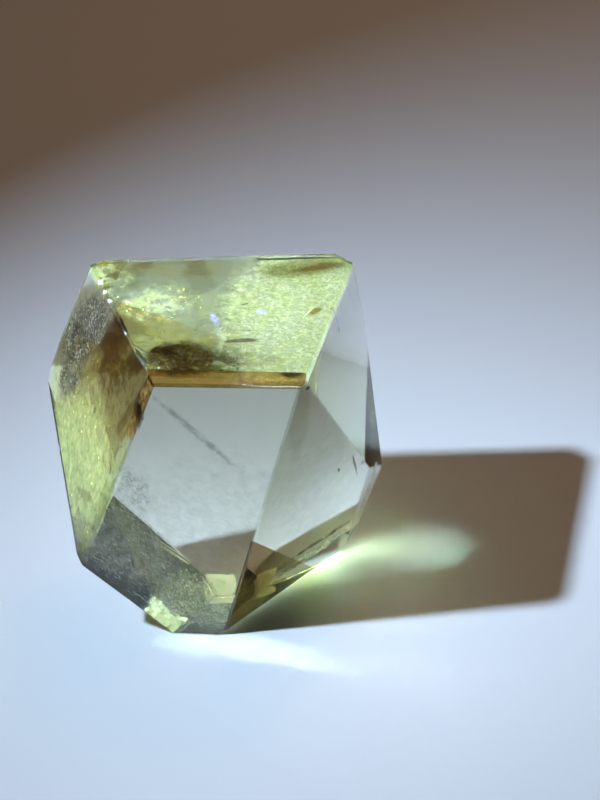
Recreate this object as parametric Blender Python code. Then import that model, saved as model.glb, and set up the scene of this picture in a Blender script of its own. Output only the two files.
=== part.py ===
"""Citrine freeform: one clear block of quartz, ground to sixteen flat faces and polished.

The stone stands on its small ground base. Its origin is the middle of its bounding box, on the
surface that it stands on. +X is to the right of the broad front face, and -Y is the way that it looks.
The cutting is worked in millimetres, and the finished mesh is in metres.
"""

from math import acos, radians, tan
from random import Random

import bmesh
import bpy
from mathutils import Euler, Matrix, Vector

MM = 0.001
BLOCK_SIZE = 160.0
CENTRE_HEIGHT = 30.0

# How near, in millimetres, a corner is to a plane that it lies on, and to another corner that it is.
ON_PLANE = 0.01
CUT_REACH = 0.0001
SAME_CORNER = 0.001

# Each ground face: the azimuth that it looks to (degrees from +X towards +Y), how far it looks up
# (degrees, minus is down), and its distance from the stone's centre in millimetres.
FACES = {
    "base": (0.0, -90.0, CENTRE_HEIGHT),
    "front": (-92.0, -1.0, 15.7),
    "top": (-95.0, 87.0, 29.1),
    "brow": (-92.5, 44.0, 30.2),
    "left_edge": (-130.0, 12.5, 22.2),
    "left": (-151.5, 18.0, 22.0),
    "left_shoulder": (-156.0, 24.0, 23.9),
    "underside": (159.0, -39.0, 20.4),
    "back": (92.5, -8.0, 11.5),
    "right_front": (-46.0, -10.5, 17.3),
    "right": (-15.5, 9.5, 23.9),
    "right_low": (-30.0, -11.0, 22.8),
    "foot_bevel": (-46.0, -50.0, 30.0),
    "back_right_corner": (47.0, 11.0, 31.8),
    "back_left_corner": (127.0, 12.0, 28.8),
    "heel": (90.0, -46.0, 24.5),
}

# Handling has worn every edge to a narrow flat.
WORN_EDGE_WIDTH = 0.3

# Nicks on the edges: the two faces that meet there, how far along from the higher end (0 to 1),
# the radius of the scoop and its depth, in millimetres.
NICKS = (
    ("top", "left_shoulder", 0.22, 1.6, 0.45),
    ("top", "left_shoulder", 0.33, 1.1, 0.35),
    ("top", "left_shoulder", 0.44, 1.9, 0.40),
    ("top", "left_shoulder", 0.78, 1.2, 0.30),
    ("top", "back_left_corner", 0.30, 1.8, 0.50),
    ("top", "back_right_corner", 0.75, 1.3, 0.35),
    ("top", "back", 0.12, 1.6, 0.30),
    ("top", "right", 0.62, 1.2, 0.25),
    ("brow", "right_front", 0.50, 0.9, 0.35),
    ("left", "left_edge", 0.35, 1.4, 0.25),
    ("left", "left_edge", 0.93, 1.7, 0.40),
    ("front", "left_edge", 0.98, 1.9, 0.45),
    ("left", "back", 0.20, 1.5, 0.35),
    ("left", "underside", 0.40, 1.8, 0.35),
    ("front", "underside", 0.30, 1.3, 0.25),
    ("front", "underside", 0.92, 2.2, 0.40),
    ("front", "right_front", 0.96, 2.0, 0.35),
    ("right_front", "right", 0.90, 1.6, 0.35),
    ("right", "back", 0.45, 1.4, 0.30),
    ("right", "right_low", 0.50, 1.8, 0.45),
    ("underside", "back", 0.25, 2.0, 0.40),
    ("underside", "back", 0.70, 1.5, 0.30),
    ("base", "heel", 0.35, 1.8, 0.35),
    ("base", "underside", 0.60, 1.5, 0.30),
)

# Two narrow faces at the lower right were left rough: shallow scoops overlap along them.
ROUGH_FACES = {"foot_bevel": 15, "right_low": 13}
ROUGH_RADIUS = (2.2, 4.2)
ROUGH_DEPTH = (0.12, 0.30)
# Where a scoop falls within its step of the row, and how far it strays to the side, as shares.
ROUGH_STEP = (0.1, 0.9)
ROUGH_STRAY = (0.0, 0.12)
ROUGH_SEED = 5


def direction(azimuth, elevation):
    """The unit vector that looks to this azimuth and elevation."""
    return Euler((0.0, -radians(elevation), radians(azimuth))).to_matrix() @ Vector((1.0, 0.0, 0.0))


def cut_flat(stone, point, outward):
    """Grinds away what lies beyond the plane and closes the stone with a flat face."""
    everything = stone.verts[:] + stone.edges[:] + stone.faces[:]
    cut = bmesh.ops.bisect_plane(
        stone, geom=everything, dist=CUT_REACH, plane_co=point, plane_no=outward, clear_outer=True
    )
    rim = [item for item in cut["geom_cut"] if isinstance(item, bmesh.types.BMEdge)]
    if rim:
        bmesh.ops.edgeloop_fill(stone, edges=rim)
        bmesh.ops.recalc_face_normals(stone, faces=stone.faces)


def grind_faces():
    """The block with its named flat faces."""
    stone = bmesh.new()
    bmesh.ops.create_cube(stone, size=BLOCK_SIZE)
    for azimuth, elevation, distance in FACES.values():
        outward = direction(azimuth, elevation)
        cut_flat(stone, outward * distance, outward)
    bmesh.ops.remove_doubles(stone, verts=stone.verts, dist=SAME_CORNER)
    return stone


def corners_on(stone, *names):
    """The corners that lie on all these faces, the highest first."""
    found = stone.verts[:]
    for name in names:
        azimuth, elevation, distance = FACES[name]
        outward = direction(azimuth, elevation)
        found = [corner for corner in found if abs(corner.co.dot(outward) - distance) < ON_PLANE]
    return sorted((corner.co.copy() for corner in found), key=lambda place: -place.z)


def wear_edges(stone):
    """Cuts a narrow flat along every edge, as wide on a blunt edge as on a sharp one."""
    flats = []
    for edge in stone.edges:
        one, other = (face.normal for face in edge.link_faces)
        outward = (one + other).normalized()
        half_turn = acos(min(1.0, one.dot(other))) / 2
        depth = WORN_EDGE_WIDTH / 2 * tan(half_turn)
        flats.append((edge.verts[0].co - outward * depth, outward))
    for point, outward in flats:
        cut_flat(stone, point, outward)
    bmesh.ops.remove_doubles(stone, verts=stone.verts, dist=SAME_CORNER)


def scoop(cutter, place, outward, radius, depth):
    """Adds a ball that bites this deep into the stone at this place."""
    centre = place + outward * (radius - depth)
    turn = outward.to_track_quat("Z", "Y").to_matrix().to_4x4()
    bmesh.ops.create_icosphere(
        cutter, subdivisions=2, radius=radius, matrix=Matrix.Translation(centre) @ turn
    )


def nick_edges(stone, cutter):
    """A scoop for each nick, where its two faces meet."""
    for one, other, along, radius, depth in NICKS:
        ends = corners_on(stone, one, other)
        outward = (direction(*FACES[one][:2]) + direction(*FACES[other][:2])).normalized()
        scoop(cutter, ends[0].lerp(ends[-1], along), outward, radius, depth)


def roughen_faces(stone, cutter):
    """A row of shallow scoops from one end of each rough face to the other."""
    chance = Random(ROUGH_SEED)
    for name, count in ROUGH_FACES.items():
        corners = corners_on(stone, name)
        outward = direction(*FACES[name][:2])
        middle = sum(corners, Vector()) / len(corners)
        far = max(corners, key=lambda corner: (corner - middle).length)
        near = max(corners, key=lambda corner: (corner - far).length)
        for step in range(count):
            along = (step + chance.uniform(*ROUGH_STEP)) / count
            side = chance.choice(corners)
            place = far.lerp(near, along).lerp(side, chance.uniform(*ROUGH_STRAY))
            place -= outward * (place - middle).dot(outward)
            scoop(cutter, place, outward, chance.uniform(*ROUGH_RADIUS), chance.uniform(*ROUGH_DEPTH))


def add_object(name, shape, shift):
    """Moves the shape, scales it from millimetres to metres and puts it in the scene."""
    bmesh.ops.translate(shape, verts=shape.verts, vec=shift)
    bmesh.ops.scale(shape, verts=shape.verts, vec=(MM, MM, MM))
    mesh = bpy.data.meshes.new(name)
    shape.to_mesh(mesh)
    shape.free()
    added = bpy.data.objects.new(name, mesh)
    bpy.context.collection.objects.link(added)
    return added


def clear_citrine():
    """Pale lemon quartz, see-through and polished."""
    material = bpy.data.materials.new("clear_citrine")
    material.use_nodes = True
    surface = material.node_tree.nodes["Principled BSDF"].inputs
    surface["Base Color"].default_value = (0.93, 0.92, 0.70, 1.0)
    surface["Roughness"].default_value = 0.03
    surface["Metallic"].default_value = 0.0
    surface["IOR"].default_value = 1.55
    surface["Transmission Weight"].default_value = 1.0
    return material


for leftover in list(bpy.data.objects):
    bpy.data.objects.remove(leftover)

stone_shape = grind_faces()
chips_shape = bmesh.new()
nick_edges(stone_shape, chips_shape)
roughen_faces(stone_shape, chips_shape)
wear_edges(stone_shape)

places = [corner.co for corner in stone_shape.verts]
middle_x = (min(place.x for place in places) + max(place.x for place in places)) / 2
middle_y = (min(place.y for place in places) + max(place.y for place in places)) / 2
onto_origin = Vector((-middle_x, -middle_y, CENTRE_HEIGHT))

citrine = add_object("citrine_freeform", stone_shape, onto_origin)
citrine.data.materials.append(clear_citrine())

chips = add_object("chips_cutter", chips_shape, onto_origin)
chips.hide_render = True
chips.display_type = "WIRE"

chipping = citrine.modifiers.new("Chips", "BOOLEAN")
chipping.operation = "DIFFERENCE"
chipping.object = chips
chipping.use_self = True
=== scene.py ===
import math

import bmesh
import bpy
from mathutils import Euler, Matrix, Vector, noise


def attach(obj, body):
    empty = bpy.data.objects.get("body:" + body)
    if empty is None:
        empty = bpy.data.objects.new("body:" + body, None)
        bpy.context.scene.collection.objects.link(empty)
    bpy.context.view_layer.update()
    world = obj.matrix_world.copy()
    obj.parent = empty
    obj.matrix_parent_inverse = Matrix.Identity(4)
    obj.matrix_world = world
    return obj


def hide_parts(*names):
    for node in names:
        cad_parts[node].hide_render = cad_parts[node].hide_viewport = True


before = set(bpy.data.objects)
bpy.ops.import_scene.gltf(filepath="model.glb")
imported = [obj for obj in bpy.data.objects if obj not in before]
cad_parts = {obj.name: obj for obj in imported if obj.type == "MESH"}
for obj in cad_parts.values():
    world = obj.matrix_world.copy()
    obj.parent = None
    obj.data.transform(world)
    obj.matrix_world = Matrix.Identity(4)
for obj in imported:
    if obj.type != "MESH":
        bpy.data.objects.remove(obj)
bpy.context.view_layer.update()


# ---------------------------------------------------------------- the ground stone
# One natural block of clear quartz, pale lemon right through. Its faces are ground flat and polished by
# hand, its edges are worn and nicked, and two narrow faces at the lower right were left rough.
MM = 0.001


def facing(azimuth, elevation):
    """The direction that a face looks to: degrees from +X towards +Y, and degrees up."""
    turn = Euler((0.0, -math.radians(elevation), math.radians(azimuth)))
    return turn.to_matrix() @ Vector((1.0, 0.0, 0.0))


BEVEL = facing(-46.0, -50.0)
RIGHT_LOW = facing(-30.0, -11.0)
# A flat face smaller than the first area is the wall of a nick, and one under the second is a worn edge.
SMALLEST_GROUND_FACE = 1.0 * MM * MM
LARGEST_WORN_EDGE = 20.0 * MM * MM
WELD = 0.002 * MM
NOTHING = 0.05 * MM
SAME_WAY = 0.999
# How rough each finish is, as a share of the roughest.
UNPOLISHED = 1.0
WORN = 0.7
POLISHED = 0.0
QUARTZ_INDEX = 1.55
# What is taken up over a metre is the density times one less the colour.
QUARTZ_COLOUR = (0.84, 0.87, 0.06, 1.0)
QUARTZ_DENSITY = 8.0


class Shade:
    """A socket in a node tree. Arithmetic on it adds the Math nodes that work it out."""

    def __init__(self, tree, socket=None):
        self.tree = tree
        self.socket = socket

    def make(self, kind, settings=(), sockets=(), output=0):
        """A new node: its settings are set first, then the values or links of its sockets."""
        node = self.tree.nodes.new(kind)
        for name, value in dict(settings).items():
            if name == "stops":
                stops = node.color_ramp.elements
                while len(stops) < len(value):
                    stops.new(1.0)
                for stop, (place, colour) in zip(stops, value):
                    stop.position = place
                    stop.color = (*colour, 1.0)
            else:
                setattr(node, name, value)
        for name, value in dict(sockets).items():
            if isinstance(value, Shade):
                self.tree.links.new(value.socket, node.inputs[name])
            else:
                node.inputs[name].default_value = value
        return Shade(self.tree, node.outputs[output] if node.outputs else None)

    def maths(self, operation, *values):
        return self.make("ShaderNodeMath", {"operation": operation}, dict(enumerate(values)))

    def __add__(self, other):
        return self.maths("ADD", self, other)

    def __sub__(self, other):
        return self.maths("SUBTRACT", self, other)

    def __rsub__(self, other):
        return self.maths("SUBTRACT", other, self)

    def __mul__(self, other):
        return self.maths("MULTIPLY", self, other)

    def __abs__(self):
        return self.maths("ABSOLUTE", self)

    __radd__ = __add__
    __rmul__ = __mul__

    def rising(self, low, high):
        """0 below low, 1 above high, and smooth between them. It falls where low is above high."""
        sockets = {"Value": self, "From Min": low, "From Max": high}
        return self.make("ShaderNodeMapRange", {"interpolation_type": "SMOOTHSTEP"}, sockets)

    def cloudy(self, per_mm, detail=2.0, distortion=0.0):
        """Noise on these coordinates, which are in millimetres, with this many lumps to one."""
        sockets = {"Vector": self, "Scale": per_mm, "Detail": detail, "Distortion": distortion}
        return self.make("ShaderNodeTexNoise", {}, sockets)

    def part(self, axis):
        """One of these coordinates: 0 is X, 1 is Y and 2 is Z."""
        return self.make("ShaderNodeSeparateXYZ", {}, {"Vector": self}, output=axis)

    def mix(self, way, first, second):
        """Two colours mixed in this way. Sockets 0, 6 and 7 are the factor and the colours."""
        settings = {"data_type": "RGBA", "blend_type": way}
        return self.make("ShaderNodeMix", settings, {0: self, 6: first, 7: second}, output=2)

    def blend(self, first, second):
        """The first colour where this is 0, and the second where it is 1."""
        return self.mix("MIX", first, second)

    def stain(self, colour, tint):
        """The colour as seen through this much of the tint."""
        return self.mix("MULTIPLY", colour, tint)

    def tints(self, *stops):
        """The colour that these stops give for this value."""
        return self.make("ShaderNodeValToRGB", {"stops": stops}, {"Fac": self})


def new_material(name):
    """An empty material, and a start for its nodes."""
    material = bpy.data.materials.new(name)
    material.use_nodes = True
    material.node_tree.nodes.clear()
    return material, Shade(material.node_tree)


def millimetres(shade):
    """The piece's own coordinates, in millimetres."""
    place = shade.make("ShaderNodeTexCoord", output="Object")
    return shade.make("ShaderNodeMapping", {"vector_type": "TEXTURE"}, {"Vector": place, "Scale": (MM,) * 3})


def welded_solid():
    """The CAD solid's own shape as one welded mesh."""
    shape = bmesh.new()
    shape.from_mesh(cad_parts["citrine_freeform"].data)
    bmesh.ops.remove_doubles(shape, verts=shape.verts, dist=WELD)
    shape.normal_update()
    return shape


def lies_in(face, plane):
    """Whether the face is a part of this plane."""
    normal, distance = plane[:2]
    if normal.dot(face.normal) < SAME_WAY:
        return False
    return all(abs(normal.dot(corner.co) - distance) < NOTHING for corner in face.verts)


def ground_planes(shape):
    """Each flat face that was ground: where it looks to, its distance from the origin and its area."""
    planes = []
    for face in sorted(shape.faces, key=lambda face: -face.calc_area()):
        same = [plane for plane in planes if lies_in(face, plane)]
        if same:
            same[0][2] += face.calc_area()
        else:
            planes.append([face.normal.copy(), face.normal.dot(face.verts[0].co), face.calc_area()])
    # The wall of a nick is small, or the rest of the stone lies in front of it.
    return [
        plane
        for plane in planes
        if plane[2] > SMALLEST_GROUND_FACE
        and max(plane[0].dot(corner.co) for corner in shape.verts) < plane[1] + NOTHING
    ]


solid = welded_solid()
GROUND = ground_planes(solid)


def object_of(name, data):
    """A new object in the scene with this mesh, lamp or lens."""
    thing = bpy.data.objects.new(name, data)
    bpy.context.collection.objects.link(thing)
    return thing


def mesh_of(name, shape):
    """The finished shape as a mesh."""
    mesh = bpy.data.meshes.new(name)
    shape.to_mesh(mesh)
    shape.free()
    return mesh


def ride_stone(name, mesh):
    """Makes the mesh a piece that rides on the stone's one body."""
    piece = object_of(name, mesh)
    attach(piece, "root")
    return piece


def link_piece(name, shape, material):
    """Makes the shape a piece in this material."""
    mesh = mesh_of(name, shape)
    mesh.materials.append(material)
    return ride_stone(name, mesh)


def clear_quartz():
    """Polished pale lemon quartz: plain transmission, with the colour taken up along the way through."""
    material, shade = new_material("clear_quartz")
    place = millimetres(shade)
    rough = shade.make("ShaderNodeAttribute", {"attribute_name": "rough"}, output="Fac")
    pits = place.cloudy(1.4, 4.0)
    polish = place.cloudy(0.12, 1.0)
    smear = place.cloudy(0.35, 3.0, 1.5).rising(0.5, 0.75)
    height = rough * pits + 0.02 * polish
    normal = shade.make("ShaderNodeBump", {}, {"Height": height, "Strength": 0.5, "Distance": 0.4 * MM})
    surface = shade.make(
        "ShaderNodeBsdfPrincipled",
        {},
        {
            "Base Color": (1.0, 1.0, 1.0, 1.0),
            "Roughness": 0.02 * smear + 0.22 * rough,
            "IOR": QUARTZ_INDEX,
            "Transmission Weight": 1.0,
            "Normal": normal,
        },
    )
    inside = shade.make(
        "ShaderNodeVolumeAbsorption", {}, {"Color": QUARTZ_COLOUR, "Density": QUARTZ_DENSITY}
    )
    shade.make("ShaderNodeOutputMaterial", {}, {"Surface": surface, "Volume": inside})
    return material


rough_layer = solid.faces.layers.float.new("rough")
for face in solid.faces:
    ground = [plane for plane in GROUND if lies_in(face, plane)]
    face.smooth = not ground
    if not ground or max(ground[0][0].dot(outward) for outward in (BEVEL, RIGHT_LOW)) > SAME_WAY:
        face[rough_layer] = UNPOLISHED
    elif ground[0][2] < LARGEST_WORN_EDGE:
        face[rough_layer] = WORN
    else:
        face[rough_layer] = POLISHED
for edge in solid.edges:
    edge.smooth = all(face.smooth for face in edge.link_faces)
stone = link_piece("clear_stone", solid, clear_quartz())
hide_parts("citrine_freeform")


# ---------------------------------------------------------------- stained layers
# Old cracks in the quartz that healed and drew in iron: thin layers, see-through and coloured. A lemon one
# lies under the top, golden to brown ones under the left faces, and a rusty one under the narrow brow.
# The front turns greyer towards the top, more so on the right, and the right face's lowest corner is a
# painted shadow: dark brown where the board in the stone's shadow shows through.
TOP = facing(-95.0, 87.0)
BROW = facing(-92.5, 44.0)
FRONT = facing(-92.0, -1.0)
RIGHT_FRONT = facing(-46.0, -10.5)
LEDGE = facing(-130.0, 12.5)
LEFT = facing(-151.5, 18.0)
LEFT_SHOULDER = facing(-156.0, 24.0)
CLEARANCE = 0.3 * MM
# So far apart in the noise that no two sheets ripple alike.
RIPPLES_APART = 900.0
# A patch reaches this far through the stone, in mm: only its place along the layer counts.
PATCH_DEPTH = 1000.0
LEMON = (0.88, 0.90, 0.46, 1.0)
HONEY = (0.74, 0.54, 0.20, 1.0)
GOLD = (0.78, 0.68, 0.30, 1.0)
OLIVE = (0.34, 0.30, 0.10, 1.0)
AMBER = (0.17, 0.06, 0.005, 1.0)
RUST = (0.40, 0.20, 0.05, 1.0)
UMBER = (0.10, 0.045, 0.012, 1.0)
SMOKE = (0.52, 0.55, 0.42, 1.0)
PALE = (0.97, 1.0, 0.88, 1.0)
STRAW = (0.94, 0.92, 0.66, 1.0)
FRONT_GREY = (0.50, 0.52, 0.48, 1.0)
FRONT_CLEAR = (0.93, 0.94, 0.97, 1.0)


class Layer:
    """A layer in the stone, parallel to the face that looks this way, in mm: its depth, middle and size."""

    def __init__(self, outward, depth, middle, size, turn=0.0):
        distance = max(GROUND, key=lambda plane: plane[0].dot(outward))[1]
        along = Vector((0.0, 0.0, 1.0)).cross(outward).normalized()
        across = outward.cross(along)
        flat = Matrix((along, across, outward)).transposed()
        self.turn = flat @ Matrix.Rotation(math.radians(turn), 3, "Z")
        self.middle = Vector(middle) * MM
        self.middle += outward * (distance - depth * MM - self.middle.dot(outward))
        self.size = size

    def place(self, shade, drawn_out=(1.0, 1.0)):
        """Millimetres from the middle, along the layer, across it and towards the face, drawn out so far."""
        position = shade.make("ShaderNodeTexCoord", output="Object")
        sockets = {"Vector": position, "Location": self.middle, "Rotation": self.turn.to_euler()}
        sockets["Scale"] = (MM * drawn_out[0], MM * drawn_out[1], MM)
        return shade.make("ShaderNodeMapping", {"vector_type": "TEXTURE"}, sockets)

    def patch(self, shade, middle, size, turn=0.0, ragged=0.6, soft=0.5):
        """1 within an ellipse of this middle and size on the layer, and 0 past its ragged rim."""
        flat = shade.make(
            "ShaderNodeMapping",
            {"vector_type": "TEXTURE"},
            {
                "Vector": self.place(shade),
                "Location": (*middle, 0.0),
                "Rotation": (0.0, 0.0, math.radians(turn)),
                "Scale": (size[0] / 2, size[1] / 2, PATCH_DEPTH),
            },
        )
        rim = shade.make("ShaderNodeVectorMath", {"operation": "LENGTH"}, {0: flat}, output="Value")
        rim = rim + ragged * (self.place(shade).cloudy(0.6, 3.0) - 0.5)
        return rim.rising(1.0, 1.0 - soft)


def inside_stone(shape, clearance=CLEARANCE):
    """Cuts off whatever would come out of the stone."""
    for normal, distance, _ in GROUND:
        everything = shape.verts[:] + shape.edges[:] + shape.faces[:]
        limit = normal * (distance - clearance)
        bmesh.ops.bisect_plane(shape, geom=everything, plane_co=limit, plane_no=normal, clear_outer=True)


def sheet(layer, ripple, wave=4.0, step=0.6, clearance=CLEARANCE):
    """A sheet in this layer, rippled by so much over waves of this length, in squares of this step, in mm."""
    shape = bmesh.new()
    counts = [max(2, round(side / step)) for side in layer.size]
    bmesh.ops.create_grid(shape, x_segments=counts[0], y_segments=counts[1], size=0.5)
    for corner in shape.verts:
        flat = Vector((corner.co.x * layer.size[0], corner.co.y * layer.size[1], 0.0))
        flat.z = ripple * noise.noise(flat / wave + layer.middle * RIPPLES_APART)
        corner.co = layer.middle + layer.turn @ flat * MM
    inside_stone(shape, clearance)
    for face in shape.faces:
        face.smooth = True
    return shape


def stained_glass(name, colour):
    """A thin layer that lets through this colour. Light passes it unbent, as in quartz of the same index."""
    material, shade = new_material(name)
    sockets = {"Base Color": colour(shade), "Roughness": 0.0, "IOR": 1.0, "Transmission Weight": 1.0}
    surface = shade.make("ShaderNodeBsdfPrincipled", {}, sockets)
    shade.make("ShaderNodeOutputMaterial", {}, {"Surface": surface})
    return material


top_layer = Layer(TOP, 0.9, (0.0, -1.0, 56.0), (56.0, 44.0))


def top_colour(shade):
    """Lemon with straw-coloured clouds, pits and streaks, a honey corner, and blots of rust and olive."""
    place = top_layer.place(shade)
    along = place.part(0)
    colour = place.cloudy(0.25, 3.0, 0.8).rising(0.42, 0.62).blend(LEMON, STRAW)
    # Small pits with dark rims, thick on the right and thin on the left.
    lumps = place.cloudy(1.0, 3.0, 1.2) - 0.5
    rims = abs(lumps).rising(0.04, 0.0)
    colour = (rims * along.rising(-2.0, 8.0) * place.part(1).rising(6.0, -2.0) * 0.45).stain(colour, OLIVE)
    streaks = top_layer.place(shade, (2.5, 0.9)).cloudy(0.7, 5.0, 0.8)
    colour = (streaks.rising(0.48, 0.62) * along.rising(4.0, -4.0) * 0.4).stain(colour, OLIVE)
    # The front left corner is honey brown, from an old crack that runs across to a crisp end.
    wobble = 1.2 * (place.cloudy(0.5, 3.0) - 0.5)
    corner = (wobble - 0.395 * along - 0.918 * place.part(1)).rising(2.5, 3.1) * along.rising(2.6, 2.0)
    colour = (corner * place.cloudy(0.5, 3.0, 1.0).rising(0.2, 0.6)).stain(colour, HONEY)
    # Where each patch lies on the layer, its size and turn, how much of its tint it takes, and the tint.
    for middle, size, turn, amount, tint in (
        ((-8.0, 14.0), (28.0, 9.0), 0.0, 0.7, HONEY),
        ((-12.0, -3.0), (10.0, 4.5), -21.0, 0.7, RUST),
        ((-15.0, 10.0), (8.0, 10.0), 0.0, 0.6, OLIVE),
        ((-3.0, 11.0), (6.0, 11.0), 25.0, 0.6, OLIVE),
        ((7.0, -9.5), (16.0, 4.5), 0.0, 0.5, OLIVE),
        ((-13.0, 14.0), (6.0, 3.0), 0.0, 0.8, RUST),
        ((-4.0, 15.0), (4.0, 3.0), 30.0, 0.7, RUST),
        ((14.0, 15.5), (20.0, 7.0), 15.0, 0.8, OLIVE),
        ((17.0, 16.0), (12.0, 2.6), 20.0, 0.9, RUST),
        ((16.8, 3.4), (3.6, 1.8), 50.0, 1.0, RUST),
        ((6.0, -5.0), (7.0, 1.4), 10.0, 0.9, UMBER),
        ((9.0, -10.8), (13.0, 1.2), 2.0, 0.5, GOLD),
        ((-14.0, -1.8), (5.0, 2.4), -50.0, 0.9, RUST),
    ):
        colour = (amount * top_layer.patch(shade, middle, size, turn)).stain(colour, tint)
    return colour


link_piece("top_stain", sheet(top_layer, 0.2), stained_glass("lemon_stain", top_colour))

left_layer = Layer(LEFT, 0.8, (-21.0, -2.0, 40.0), (40.0, 56.0))


def left_colour(shade):
    """Lemon low down and golden higher up, with rusty streaks and brown blots near the top."""
    height = left_layer.place(shade).part(1)
    height = height + 7.0 * (left_layer.place(shade).cloudy(0.25, 4.0) - 0.5)
    streaks = left_layer.place(shade, (0.7, 1.5)).cloudy(0.9, 5.0, 0.5)
    colour = height.rising(-8.0, 10.0).blend(LEMON, GOLD)
    colour = (streaks.rising(0.50, 0.62) * height.rising(-4.0, 10.0) * 0.6).stain(colour, RUST)
    for middle, size, turn, amount, tint in (
        ((4.0, 16.0), (16.0, 8.0), 40.0, 0.8, RUST),
        ((12.5, 18.0), (10.0, 5.0), 45.0, 0.9, UMBER),
        ((13.5, 8.0), (2.5, 12.0), -22.0, 0.8, RUST),
        ((6.5, -12.0), (8.0, 2.5), 20.0, 0.7, OLIVE),
    ):
        colour = (amount * left_layer.patch(shade, middle, size, turn)).stain(colour, tint)
    return colour


link_piece("left_stain", sheet(left_layer, 0.3), stained_glass("golden_stain", left_colour))

shoulder_layer = Layer(LEFT_SHOULDER, 0.6, (-21.6, 6.0, 51.0), (44.0, 36.0))


def shoulder_colour(shade):
    """Nearly clear at the back, golden towards the front, with a brown blot in the upper corner."""
    place = shoulder_layer.place(shade)
    colour = (place.part(0) + 5.0 * place.cloudy(0.3, 3.0)).rising(-6.0, 10.0).blend(PALE, GOLD)
    colour = (0.9 * shoulder_layer.patch(shade, (9.5, 5.5), (15.0, 9.0), 40.0)).stain(colour, RUST)
    return (0.8 * shoulder_layer.patch(shade, (10.5, 7.5), (15.0, 6.0), 45.0)).stain(colour, UMBER)


link_piece("shoulder_stain", sheet(shoulder_layer, 0.2), stained_glass("shoulder_stain", shoulder_colour))

ledge_layer = Layer(LEDGE, 0.4, (-11.0, -13.0, 40.0), (10.0, 64.0))


def ledge_colour(shade):
    """Smoky below and rusty above, with brown streaks."""
    place = ledge_layer.place(shade)
    height = place.part(1) + 5.0 * (place.cloudy(0.5, 4.0) - 0.5)
    streaks = ledge_layer.place(shade, (0.5, 2.0)).cloudy(1.2, 4.0).rising(0.4, 0.6)
    colour = height.rising(3.0, 6.5).blend(SMOKE, RUST)
    return (streaks * height.rising(3.0, 9.0)).stain(colour, UMBER)


link_piece("ledge_stain", sheet(ledge_layer, 0.0), stained_glass("ledge_stain", ledge_colour))

brow_layer = Layer(BROW, 0.5, (0.0, -12.8, 56.2), (44.0, 6.0))


def brow_colour(shade):
    """Amber to rust, with a dark spot near its right end."""
    place = brow_layer.place(shade)
    colour = (place.part(0) + 3.0 * place.cloudy(0.8, 3.0)).rising(4.0, 11.0).blend(AMBER, RUST)
    return brow_layer.patch(shade, (13.5, 0.5), (5.0, 2.2)).stain(colour, UMBER)


link_piece("brow_stain", sheet(brow_layer, 0.0), stained_glass("rusty_stain", brow_colour))

front_layer = Layer(FRONT, 0.5, (0.0, -15.0, 30.0), (60.0, 70.0))


def front_colour(shade):
    """Nearly clear low down and greyer towards the top."""
    place = front_layer.place(shade)
    return (place.part(1) + 6.0 * place.cloudy(0.12, 3.0)).rising(-12.0, 26.0).blend(FRONT_CLEAR, FRONT_GREY)


link_piece("front_grey_film", sheet(front_layer, 0.0, step=2.0), stained_glass("front_greying", front_colour))

right_layer = Layer(RIGHT_FRONT, 0.5, (13.0, -12.0, 20.0), (60.0, 100.0))


def right_colour(shade):
    """Pale below and greyer above, with a painted shadow in the lowest corner."""
    place = right_layer.place(shade)
    height = (place.part(1) + 4.0 * place.cloudy(0.15, 2.0)).rising(0.0, 20.0)
    colour = height.blend(PALE, SMOKE)
    colour = (0.6 * right_layer.patch(shade, (-1.0, 30.0), (6.0, 26.0), 8.0)).stain(colour, SMOKE)
    # The lowest corner is a painted shadow of the board seen through the face: dark brown up to a straight
    # line, and golden towards the bevel.
    across = -0.781 * place.part(0) - 0.627 * place.part(1)
    shadow = across.rising(3.1, 3.4)
    corner = (right_layer.place(shade).part(0) + 4.0 * place.cloudy(0.6, 4.0)).rising(-2.0, 9.0)
    return shadow.blend(colour, corner.blend(UMBER, OLIVE))


link_piece("right_film_and_painted_shadow", sheet(right_layer, 0.0, step=2.0), stained_glass("right_grey_and_painted_shadow", right_colour))


# ---------------------------------------------------------------- moss and bubble veils
# Stringy clay that grew into the quartz like moss, dark brown to grey, and sheets of fine bubbles that look
# pale. The left side, the top's front and the foot hold the most, and the stone's middle is clear.
# Most strands also give off a faint painted glow in place of the light that they scatter.
TONE_STOPS = (0.34, 0.5, 0.58, 0.72)


def veil(name, layer, cover, tones, ragged, drawn_out, painted_glow, least, most):
    """Tangled strands that cover this share of the layer, in tones from their darkest to their palest."""
    material, shade = new_material(name)
    place = layer.place(shade, drawn_out)
    colour = place.cloudy(1.6, 5.0, 1.0).tints(*zip(TONE_STOPS, tones))
    tangle = place.cloudy(2.0, 5.0, 1.5)
    ridge = 1.0 - 2.0 * abs(tangle - 0.5)
    clumps = layer.place(shade).cloudy(0.5, 3.0, 0.5).rising(0.3, 0.6)
    whole = layer.patch(shade, (0.0, 0.0), layer.size, ragged=ragged, soft=min(0.6, ragged + 0.05))
    whole = whole * (least + (most - least) * clumps)
    sockets = {
        "Base Color": colour,
        "Alpha": whole * ridge.rising(1.0 - cover, 1.0 - 0.4 * cover),
        "Roughness": 0.5,
        "Specular IOR Level": 0.3,
        "Emission Color": colour,
        # The emission is painted glow, standing in for the lamp's light scattered by the strands.
        "Emission Strength": painted_glow,
    }
    surface = shade.make("ShaderNodeBsdfPrincipled", {}, sockets)
    shade.make("ShaderNodeOutputMaterial", {}, {"Surface": surface})
    link_piece(name, sheet(layer, 0.2, wave=3.0), material)


UNDERSIDE = facing(159.0, -39.0)
BASE = facing(0.0, -90.0)
HEEL = facing(90.0, -46.0)
BACK = facing(92.5, -8.0)
RIGHT = facing(-15.5, 9.5)
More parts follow.
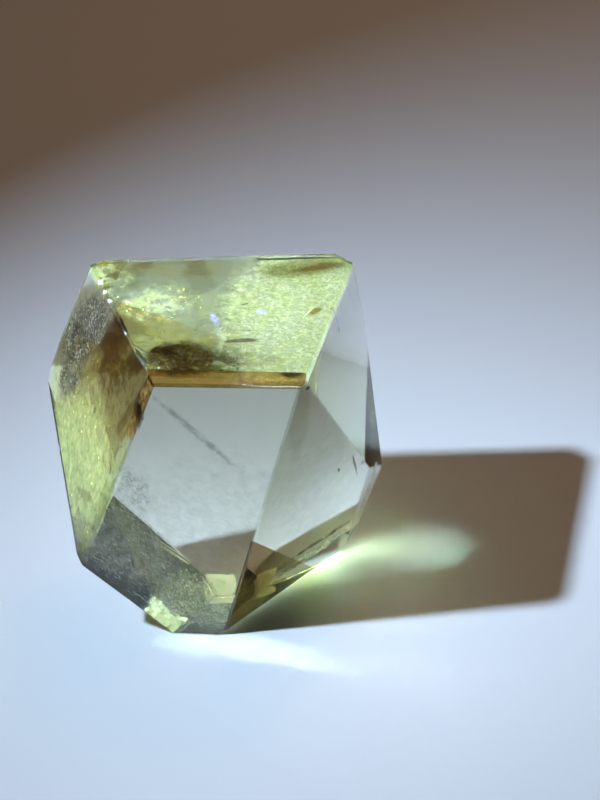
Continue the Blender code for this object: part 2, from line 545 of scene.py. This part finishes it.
# The tones of each kind of strand, from the darkest to the palest.
DARK = ((0.006, 0.003, 0.001), (0.03, 0.014, 0.006), (0.07, 0.045, 0.018), (0.30, 0.22, 0.10))
GREY = ((0.010, 0.006, 0.003), (0.035, 0.022, 0.010), (0.20, 0.17, 0.10), (0.95, 0.97, 0.78))
BROWN = ((0.03, 0.012, 0.006), (0.08, 0.04, 0.015), (0.16, 0.09, 0.03), (0.4, 0.3, 0.1))
ASH = ((0.16, 0.13, 0.10), (0.22, 0.19, 0.16), (0.30, 0.28, 0.25), (0.5, 0.5, 0.45))
LIME = ((0.52, 0.52, 0.34), (0.64, 0.65, 0.44), (0.74, 0.77, 0.54), (1.0, 1.0, 0.9))
GLASSY = ((0.44, 0.44, 0.32), (0.57, 0.58, 0.47), (0.67, 0.69, 0.56), (0.9, 0.9, 0.8))
SEAM = ((0.18, 0.21, 0.15), (0.42, 0.50, 0.38), (0.68, 0.76, 0.58), (1.0, 1.0, 0.85))
HATCH = ((0.12, 0.13, 0.11), (0.4, 0.44, 0.4), (0.8, 0.85, 0.8), (1.0, 1.0, 1.0))
MOSSY = ((0.10, 0.13, 0.08), (0.20, 0.25, 0.17), (0.5, 0.55, 0.45), (1.0, 1.0, 0.95))
PAINTED_LIGHT_CREAM = ((0.74, 0.82, 0.52), (0.82, 0.90, 0.62), (0.92, 0.97, 0.72), (1.0, 1.0, 0.85))
LILAC = ((0.30, 0.28, 0.40), (0.50, 0.48, 0.72), (0.68, 0.66, 0.95), (1.0, 1.0, 1.0))
# The strands' cover and tones, how ragged the rim is, how far the strands are drawn out along the layer and
# across it, how much painted glow they give off, and how thin and how thick the clumps are.
for name, layer, cover, tones, ragged, drawn_out, painted_glow, least, most in (
    ("shoulder_moss_band", Layer(LEFT_SHOULDER, 0.5, (-21.2, 7.0, 51.0), (28.0, 14.0), 51.0), 1.0, GREY,
        0.5, (0.6, 0.8), 0.05, 0.6, 1.0),
    ("left_moss_band", Layer(LEFT, 0.6, (-25.0, 5.0, 43.8), (17.0, 9.0), 61.0), 0.9, GREY,
        0.8, (0.6, 0.8), 0.05, 0.4, 0.9),
    ("left_lime_veil", Layer(LEFT, 1.2, (-21.5, -4.0, 33.0), (42.0, 35.0)), 3.0, LIME,
        0.6, (1.2, 2.6), 0.12, 0.4, 0.62),
    ("left_brown_veil", Layer(LEFT, 1.0, (-14.5, -5.5, 52.0), (16.0, 10.0), 40.0), 0.35, BROWN,
        0.9, (0.5, 1.4), 0.0, 0.2, 0.9),
    ("ledge_moss_strip", Layer(LEDGE, 0.6, (-9.6, -13.6, 52.0), (2.6, 13.0), 12.0), 0.8, DARK,
        0.9, (0.4, 0.8), 0.0, 0.3, 1.0),
    ("top_moss_patch", Layer(TOP, 1.2, (-3.6, -10.4, 57.4), (15.0, 9.5), -2.0), 1.3, DARK,
        0.4, (1.3, 0.6), 0.0, 0.85, 1.0),
    ("top_left_veil", Layer(TOP, 1.4, (-17.0, 11.0, 57.0), (12.0, 14.0)), 1.6, GLASSY,
        0.9, (3.0, 3.0), 0.05, 0.1, 0.5),
    ("top_lime_veil", Layer(TOP, 1.5, (-9.0, 3.5, 56.0), (15.0, 12.0), 20.0), 0.8, LIME,
        0.9, (1.6, 1.0), 0.05, 0.15, 0.65),
    ("top_right_veil", Layer(TOP, 1.6, (20.0, 0.0, 56.0), (40.0, 52.0)), 3.0, GLASSY,
        0.25, (1.3, 1.0), 0.1, 0.8, 0.92),
    # Painted glints: two glowing lilac spots under the top.
    ("top_lilac_painted_glint", Layer(TOP, 0.6, (1.2, -1.2, 56.0), (1.6, 4.6), 28.0), 1.0, LILAC,
        0.9, (0.5, 0.8), 0.12, 0.4, 0.9),
    ("top_lilac_painted_glint_spot", Layer(TOP, 0.6, (8.6, 0.6, 56.0), (2.4, 2.0)), 0.8, LILAC,
        0.9, (0.5, 0.5), 0.08, 0.4, 0.8),
    ("top_crack", Layer(TOP, 0.8, (17.0, 1.9, 58.5), (12.0, 0.35), 61.0), 2.0, LIME,
        0.9, (4.0, 4.0), 0.4, 0.7, 1.0),
    ("top_line", Layer(TOP, 0.8, (5.9, -4.0, 58.1), (6.9, 0.16), 4.0), 2.0, BROWN,
        0.9, (4.0, 4.0), 0.0, 0.5, 0.8),
    ("top_tick", Layer(TOP, 0.8, (5.8, 2.8, 58.5), (2.0, 0.3), 31.0), 2.0, DARK,
        0.9, (4.0, 4.0), 0.0, 0.5, 0.9),
    ("front_scar", Layer(FRONT, 1.2, (-1.5, -13.5, 47.0), (22.0, 1.7), -49.0), 0.45, ASH,
        0.9, (0.5, 0.3), 0.0, 0.1, 0.45),
    ("front_smears", Layer(FRONT, 0.6, (1.0, -15.0, 27.0), (40.0, 44.0), -35.0), 0.25, HATCH,
        0.9, (3.0, 0.5), 0.0, 0.0, 0.16),
    ("right_smears", Layer(RIGHT_FRONT, 0.65, (17.0, -8.0, 30.0), (26.0, 44.0), 20.0), 0.25, HATCH,
        0.9, (3.0, 0.5), 0.0, 0.0, 0.14),
    ("back_wisps", Layer(BACK, 0.5, (-14.0, 9.5, 23.0), (8.0, 13.0), -20.0), 0.15, MOSSY,
        0.9, (0.35, 2.0), 0.1, 0.05, 0.7),
    ("foot_scratches", Layer(UNDERSIDE, 0.5, (-16.0, -0.6, 16.0), (34.0, 26.0), 35.0), 0.2, HATCH,
        0.5, (0.35, 2.0), 0.12, 0.0, 0.75),
    ("foot_veil", Layer(UNDERSIDE, 0.8, (-5.0, -3.0, 3.5), (24.0, 15.0)), 1.3, SEAM,
        0.6, (1.0, 0.8), 0.15, 0.4, 0.9),
    # A painted reflection: a glowing cream sheet on the heel, in place of a lamp's reflection seen through
    # the front.
    ("foot_painted_reflection", Layer(HEEL, 0.4, (-4.0, 6.0, 2.5), (15.0, 14.0)), 3.0, PAINTED_LIGHT_CREAM,
        0.0, (4.0, 4.0), 0.4, 0.95, 0.95),
    # A painted highlight: a glowing cream line along the edge between the underside and the back.
    ("foot_painted_highlight", Layer(UNDERSIDE, 0.35, (-6.2, 7.5, 8.4), (0.5, 17.0), -23.0), 3.0, PAINTED_LIGHT_CREAM,
        0.3, (4.0, 4.0), 0.45, 0.85, 0.95),
    ("base_frost", Layer(BASE, 0.5, (1.0, -6.0, 0.0), (16.0, 16.0)), 0.6, HATCH,
        0.9, (0.4, 0.4), 0.05, 0.4, 0.9),
    # A painted shadow: a brown band low on the right face, where the board in the stone's shadow shows
    # through.
    ("right_painted_shadow_fringe", Layer(RIGHT_FRONT, 0.7, (18.3, -0.6, 9.4), (20.0, 1.8), -3.0), 0.6, BROWN,
        0.9, (0.4, 0.3), 0.0, 0.2, 0.9),
    ("right_frost", Layer(RIGHT_FRONT, 0.9, (17.6, -1.4, 6.7), (24.0, 4.0), -3.0), 0.5, HATCH,
        0.9, (0.4, 0.4), 0.25, 0.2, 0.8),
    ("right_low_frost", Layer(RIGHT_LOW, 0.5, (27.3, 8.7, 13.0), (6.0, 20.0)), 0.5, HATCH,
        0.9, (0.4, 0.5), 0.25, 0.2, 0.9),
    ("right_branch", Layer(RIGHT_FRONT, 0.45, (24.2, 0.4, 27.0), (9.0, 0.6), -69.0), 1.5, BROWN,
        0.9, (0.5, 0.3), 0.0, 0.5, 1.0),
    ("right_speck", Layer(RIGHT_FRONT, 0.45, (21.2, -2.6, 28.4), (0.8, 1.6), 20.0), 1.5, BROWN,
        0.9, (0.5, 0.5), 0.0, 0.5, 1.0),
    ("corner_speck", Layer(RIGHT_FRONT, 0.4, (15.8, -15.0, 55.8), (1.4, 1.4)), 2.5, DARK,
        0.5, (2.0, 2.0), 0.0, 1.0, 1.0),
    ("right_shard", Layer(RIGHT, 0.6, (20.2, 1.9, 56.4), (1.3, 6.4), 12.0), 0.9, LILAC,
        0.9, (0.4, 2.0), 0.2, 0.3, 0.9),
):
    veil(name, layer, cover, tones, ragged, drawn_out, painted_glow, least, most)


# ---------------------------------------------------------------- sparks
# Flat bubbles and healed hairline cracks close to the veils, thinner than a hair. They formed as the
# crystal grew. Their flashes are painted glints: the flakes glow white or yellow, now and then green or
# lilac.
MOST_TILT = (0.3, 0.3, 0.35)
SMALLEST_FLAKE = 0.15
FLAKE_CORNERS = 5
TONE_SEED = 7


def sparks_tree():
    """Flat flakes strewn over a sheet, as many to a square metre as asked, each with its own tone."""
    tree = bpy.data.node_groups.new("sparks", "GeometryNodeTree")
    tree.is_modifier = True
    for name, kind in (
        ("Sheet", "NodeSocketGeometry"),
        ("To a square metre", "NodeSocketFloat"),
        ("Flake", "NodeSocketFloat"),
        ("Stretch", "NodeSocketVector"),
        ("Seed", "NodeSocketInt"),
        ("Finish", "NodeSocketMaterial"),
    ):
        tree.interface.new_socket(name, in_out="INPUT", socket_type=kind)
    tree.interface.new_socket("Flakes", in_out="OUTPUT", socket_type="NodeSocketGeometry")
    shade = Shade(tree)
    carrier, density, radius, stretch, seed, finish = (
        shade.make("NodeGroupInput", output=index) for index in range(6)
    )
    points = shade.make(
        "GeometryNodeDistributePointsOnFaces", {}, {"Mesh": carrier, "Density": density, "Seed": seed}
    )
    facing_out = Shade(tree, points.socket.node.outputs["Rotation"])
    flake = shade.make(
        "GeometryNodeMeshCircle", {"fill_type": "NGON"}, {"Vertices": FLAKE_CORNERS, "Radius": radius}
    )
    flake = shade.make("GeometryNodeTransform", {}, {"Geometry": flake, "Scale": stretch})
    # Sockets 0 and 1 are a random vector's limits, and 2 and 3 are a random number's.
    tilt = shade.make(
        "FunctionNodeRandomValue",
        {"data_type": "FLOAT_VECTOR"},
        {0: tuple(-most for most in MOST_TILT), 1: MOST_TILT, "Seed": seed},
    )
    turned = shade.make("FunctionNodeRotateRotation", {"rotation_space": "LOCAL"}, {0: facing_out, 1: tilt})
    size = shade.make("FunctionNodeRandomValue", {}, {2: SMALLEST_FLAKE, 3: 1.0, "Seed": seed}, output=1)
    flakes = shade.make(
        "GeometryNodeInstanceOnPoints",
        {},
        {"Points": points, "Instance": flake, "Rotation": turned, "Scale": size},
    )
    tone = shade.make("FunctionNodeRandomValue", {}, {2: 0.0, 3: 1.0, "Seed": TONE_SEED}, output=1)
    flakes = shade.make(
        "GeometryNodeStoreNamedAttribute",
        {"domain": "INSTANCE"},
        {"Geometry": flakes, "Name": "tone", "Value": tone},
    )
    flakes = shade.make("GeometryNodeRealizeInstances", {}, {"Geometry": flakes})
    flakes = shade.make("GeometryNodeSetMaterial", {}, {"Geometry": flakes, "Material": finish})
    shade.make("NodeGroupOutput", {}, {0: flakes})
    return tree


def spark_skin(name, painted_glow, *stops):
    """The finish of flakes whose colour goes by their tone, which these stops give, with a painted glint
    glow.
    """
    material, shade = new_material(name)
    tone = shade.make("ShaderNodeAttribute", {"attribute_name": "tone"}, output="Fac")
    colour = tone.tints(*stops)
    sockets = {
        "Base Color": colour,
        "Roughness": 0.35,
        "Emission Color": colour,
        # The emission is a painted glint, in place of the lamp's reflection in each flake.
        "Emission Strength": painted_glow,
    }
    surface = shade.make("ShaderNodeBsdfPrincipled", {}, sockets)
    shade.make("ShaderNodeOutputMaterial", {}, {"Surface": surface})
    return material


SPARKS = sparks_tree()
YELLOW_FLAKES_PAINTED_GLINT = spark_skin(
    "yellow_flakes_painted_glint",
    0.6,
    (0.0, (0.75, 0.75, 0.25)),
    (0.4, (0.95, 0.95, 0.5)),
    (0.75, (1.0, 1.0, 0.85)),
    (0.93, (0.3, 0.9, 0.6)),
    (0.98, (0.8, 0.6, 0.95)),
)
WHITE_FLAKES_PAINTED_GLINT = spark_skin(
    "white_flakes_painted_glint",
    0.3,
    (0.0, (0.35, 0.36, 0.33)),
    (0.6, (0.7, 0.75, 0.7)),
    (1.0, (1.0, 1.0, 1.0)),
)


def strew(name, layer, per_mm2, flake, stretch, seed, finish):
    """Sparks over this layer, so many to a square mm, with the half width of the largest in mm."""
    shape = sheet(layer, 0.4, wave=3.0, step=1.0, clearance=0.8 * MM)
    carrier = object_of(name + "_sheet", mesh_of(name + "_sheet", shape))
    strewn = carrier.modifiers.new("sparks", "NODES")
    strewn.node_group = SPARKS
    sockets = {item.name: item.identifier for item in SPARKS.interface.items_tree if item.in_out == "INPUT"}
    strewn[sockets["To a square metre"]] = per_mm2 / MM**2
    strewn[sockets["Flake"]] = flake * MM
    strewn[sockets["Stretch"]] = (1.0, stretch, 1.0)
    strewn[sockets["Seed"]] = seed
    strewn[sockets["Finish"]] = finish
    plain = bpy.data.meshes.new_from_object(carrier.evaluated_get(bpy.context.evaluated_depsgraph_get()))
    bpy.data.objects.remove(carrier)
    plain.name = name
    ride_stone(name, plain)


for name, layer, per_mm2, flake, stretch, seed, finish in (
    ("left_sparks", Layer(LEFT, 1.0, (-19.0, -5.5, 39.0), (26.0, 34.0)),
        0.05, 0.20, 1.5, 3, YELLOW_FLAKES_PAINTED_GLINT),
    ("top_sparks", Layer(TOP, 1.2, (-8.0, 3.0, 56.0), (14.0, 9.0), 20.0),
        0.35, 0.24, 1.8, 4, YELLOW_FLAKES_PAINTED_GLINT),
    ("foot_sparks", Layer(UNDERSIDE, 1.0, (-15.0, -2.0, 15.0), (26.0, 26.0)),
        1.3, 0.06, 9.0, 5, WHITE_FLAKES_PAINTED_GLINT),
    ("foot_glints", Layer(UNDERSIDE, 1.0, (-5.0, 2.5, 5.0), (8.0, 6.0)),
        0.3, 0.22, 2.0, 8, YELLOW_FLAKES_PAINTED_GLINT),
    ("right_sparks", Layer(RIGHT_FRONT, 0.9, (17.8, -1.1, 7.0), (24.0, 5.0), -3.0),
        1.4, 0.18, 1.6, 6, WHITE_FLAKES_PAINTED_GLINT),
    ("right_low_sparks", Layer(RIGHT_LOW, 0.9, (27.3, 8.7, 13.0), (5.0, 16.0)),
        1.2, 0.14, 1.8, 7, WHITE_FLAKES_PAINTED_GLINT),
):
    strew(name, layer, per_mm2, flake, stretch, seed, finish)


# ---------------------------------------------------------------- the floor
# The board that the stone stands on, painted pale and matt. It is set a hair below the stone's base, so
# that the two never share a surface.
FLOOR_HALF = 1.6
FLOOR_GAP = 0.0001
PALE_PAINT = (0.76, 0.78, 0.82, 1.0)

floor_shape = bmesh.new()
bmesh.ops.create_grid(floor_shape, x_segments=1, y_segments=1, size=FLOOR_HALF)
floor = object_of("floor", mesh_of("floor", floor_shape))
floor.location = (0.0, 0.0, -FLOOR_GAP)


def pale_paint():
    """Matt paint with a faint grain."""
    material, shade = new_material("pale_paint")
    place = millimetres(shade)
    normal = shade.make(
        "ShaderNodeBump", {}, {"Height": place.cloudy(1.8, 3.0), "Strength": 0.15, "Distance": 0.2 * MM}
    )
    surface = shade.make(
        "ShaderNodeBsdfPrincipled",
        {},
        {
            "Base Color": PALE_PAINT,
            "Roughness": 0.6,
            "Specular IOR Level": 0.25,
            "Normal": normal,
        },
    )
    shade.make("ShaderNodeOutputMaterial", {}, {"Surface": surface})
    return material


floor.data.materials.append(pale_paint())


# ---------------------------------------------------------------- light and camera
# A small lamp high on the left lights the stone and the board and casts the shadow. A second, wider lamp
# some 8 cm away lights only through the stone, and so makes the bright patch in the shadow. A broad warm
# fill and a dim room do the rest.
LAMP = (-0.147, -0.048, 0.253)
LAMP_SIZE = 0.012
LAMP_POWER = 0.215
LAMP_COLOUR = (0.62, 0.80, 1.0)
WIDE_LAMP = (-0.156, 0.020, 0.210)
WIDE_LAMP_SIZE = 0.05
WIDE_LAMP_POWER = 0.42
WIDE_LAMP_COLOUR = (0.52, 0.74, 1.0)
LAMP_TARGET = (0.080, 0.020, 0.0)
LAMP_SPREAD = 70.0
FILL = (0.235, 0.407, 0.883)
FILL_SIZE = 0.4
FILL_POWER = 1.8
FILL_COLOUR = (0.85, 0.52, 0.31)
FILL_TARGET = (0.0, 0.0, 0.0)
ROOM_COLOUR = (0.5, 0.8, 0.85, 1.0)
ROOM_STRENGTH = 0.015
EYE = (0.0147, -0.1645, 0.1700)
LOOKING_DOWN = 38.0
SENSOR = 36.0
FOCAL_LENGTH_IN_PIXELS = 1240.0
PICTURE_WIDTH_IN_PIXELS = 600.0


def soft_light(name, place, target, size, power, colour, spread=180.0):
    """A round lamp at this place that looks at the target."""
    lamp = bpy.data.lights.new(name, "AREA")
    lamp.shape = "DISK"
    lamp.spread = math.radians(spread)
    lamp.size = size
    lamp.energy = power
    lamp.color = colour
    holder = object_of(name, lamp)
    holder.location = place
    holder.rotation_euler = (Vector(target) - Vector(place)).to_track_quat("-Z", "Y").to_euler()
    return holder


key = soft_light("key", LAMP, LAMP_TARGET, LAMP_SIZE, LAMP_POWER, LAMP_COLOUR, LAMP_SPREAD)
key.visible_transmission = False
key_shade = soft_light(
    "key_shade", WIDE_LAMP, LAMP_TARGET, WIDE_LAMP_SIZE, WIDE_LAMP_POWER, WIDE_LAMP_COLOUR, LAMP_SPREAD
)
key_shade.visible_diffuse = False
key_shade.visible_glossy = False
soft_light("fill", FILL, FILL_TARGET, FILL_SIZE, FILL_POWER, FILL_COLOUR)

world = bpy.data.worlds.new("dim_room")
world.use_nodes = True
background = world.node_tree.nodes["Background"]
background.inputs["Color"].default_value = ROOM_COLOUR
background.inputs["Strength"].default_value = ROOM_STRENGTH

lens = bpy.data.cameras.new("camera")
lens.sensor_fit = "HORIZONTAL"
lens.sensor_width = SENSOR
lens.lens = SENSOR * FOCAL_LENGTH_IN_PIXELS / PICTURE_WIDTH_IN_PIXELS
lens.clip_start = 0.01
lens.clip_end = 20.0
camera = object_of("camera", lens)
camera.location = EYE
camera.rotation_euler = (math.radians(90.0 - LOOKING_DOWN), 0.0, 0.0)

scene = bpy.context.scene
scene.world = world
scene.camera = camera
scene.view_settings.view_transform = "Standard"
scene.cycles.max_bounces = 24
scene.cycles.transmission_bounces = 20
scene.cycles.glossy_bounces = 12
scene.cycles.transparent_max_bounces = 24
scene.cycles.caustics_refractive = True
scene.cycles.caustics_reflective = True
scene.cycles.blur_glossy = 0.2
scene.cycles.sample_clamp_indirect = 0.0
scene.cycles.use_denoising = True
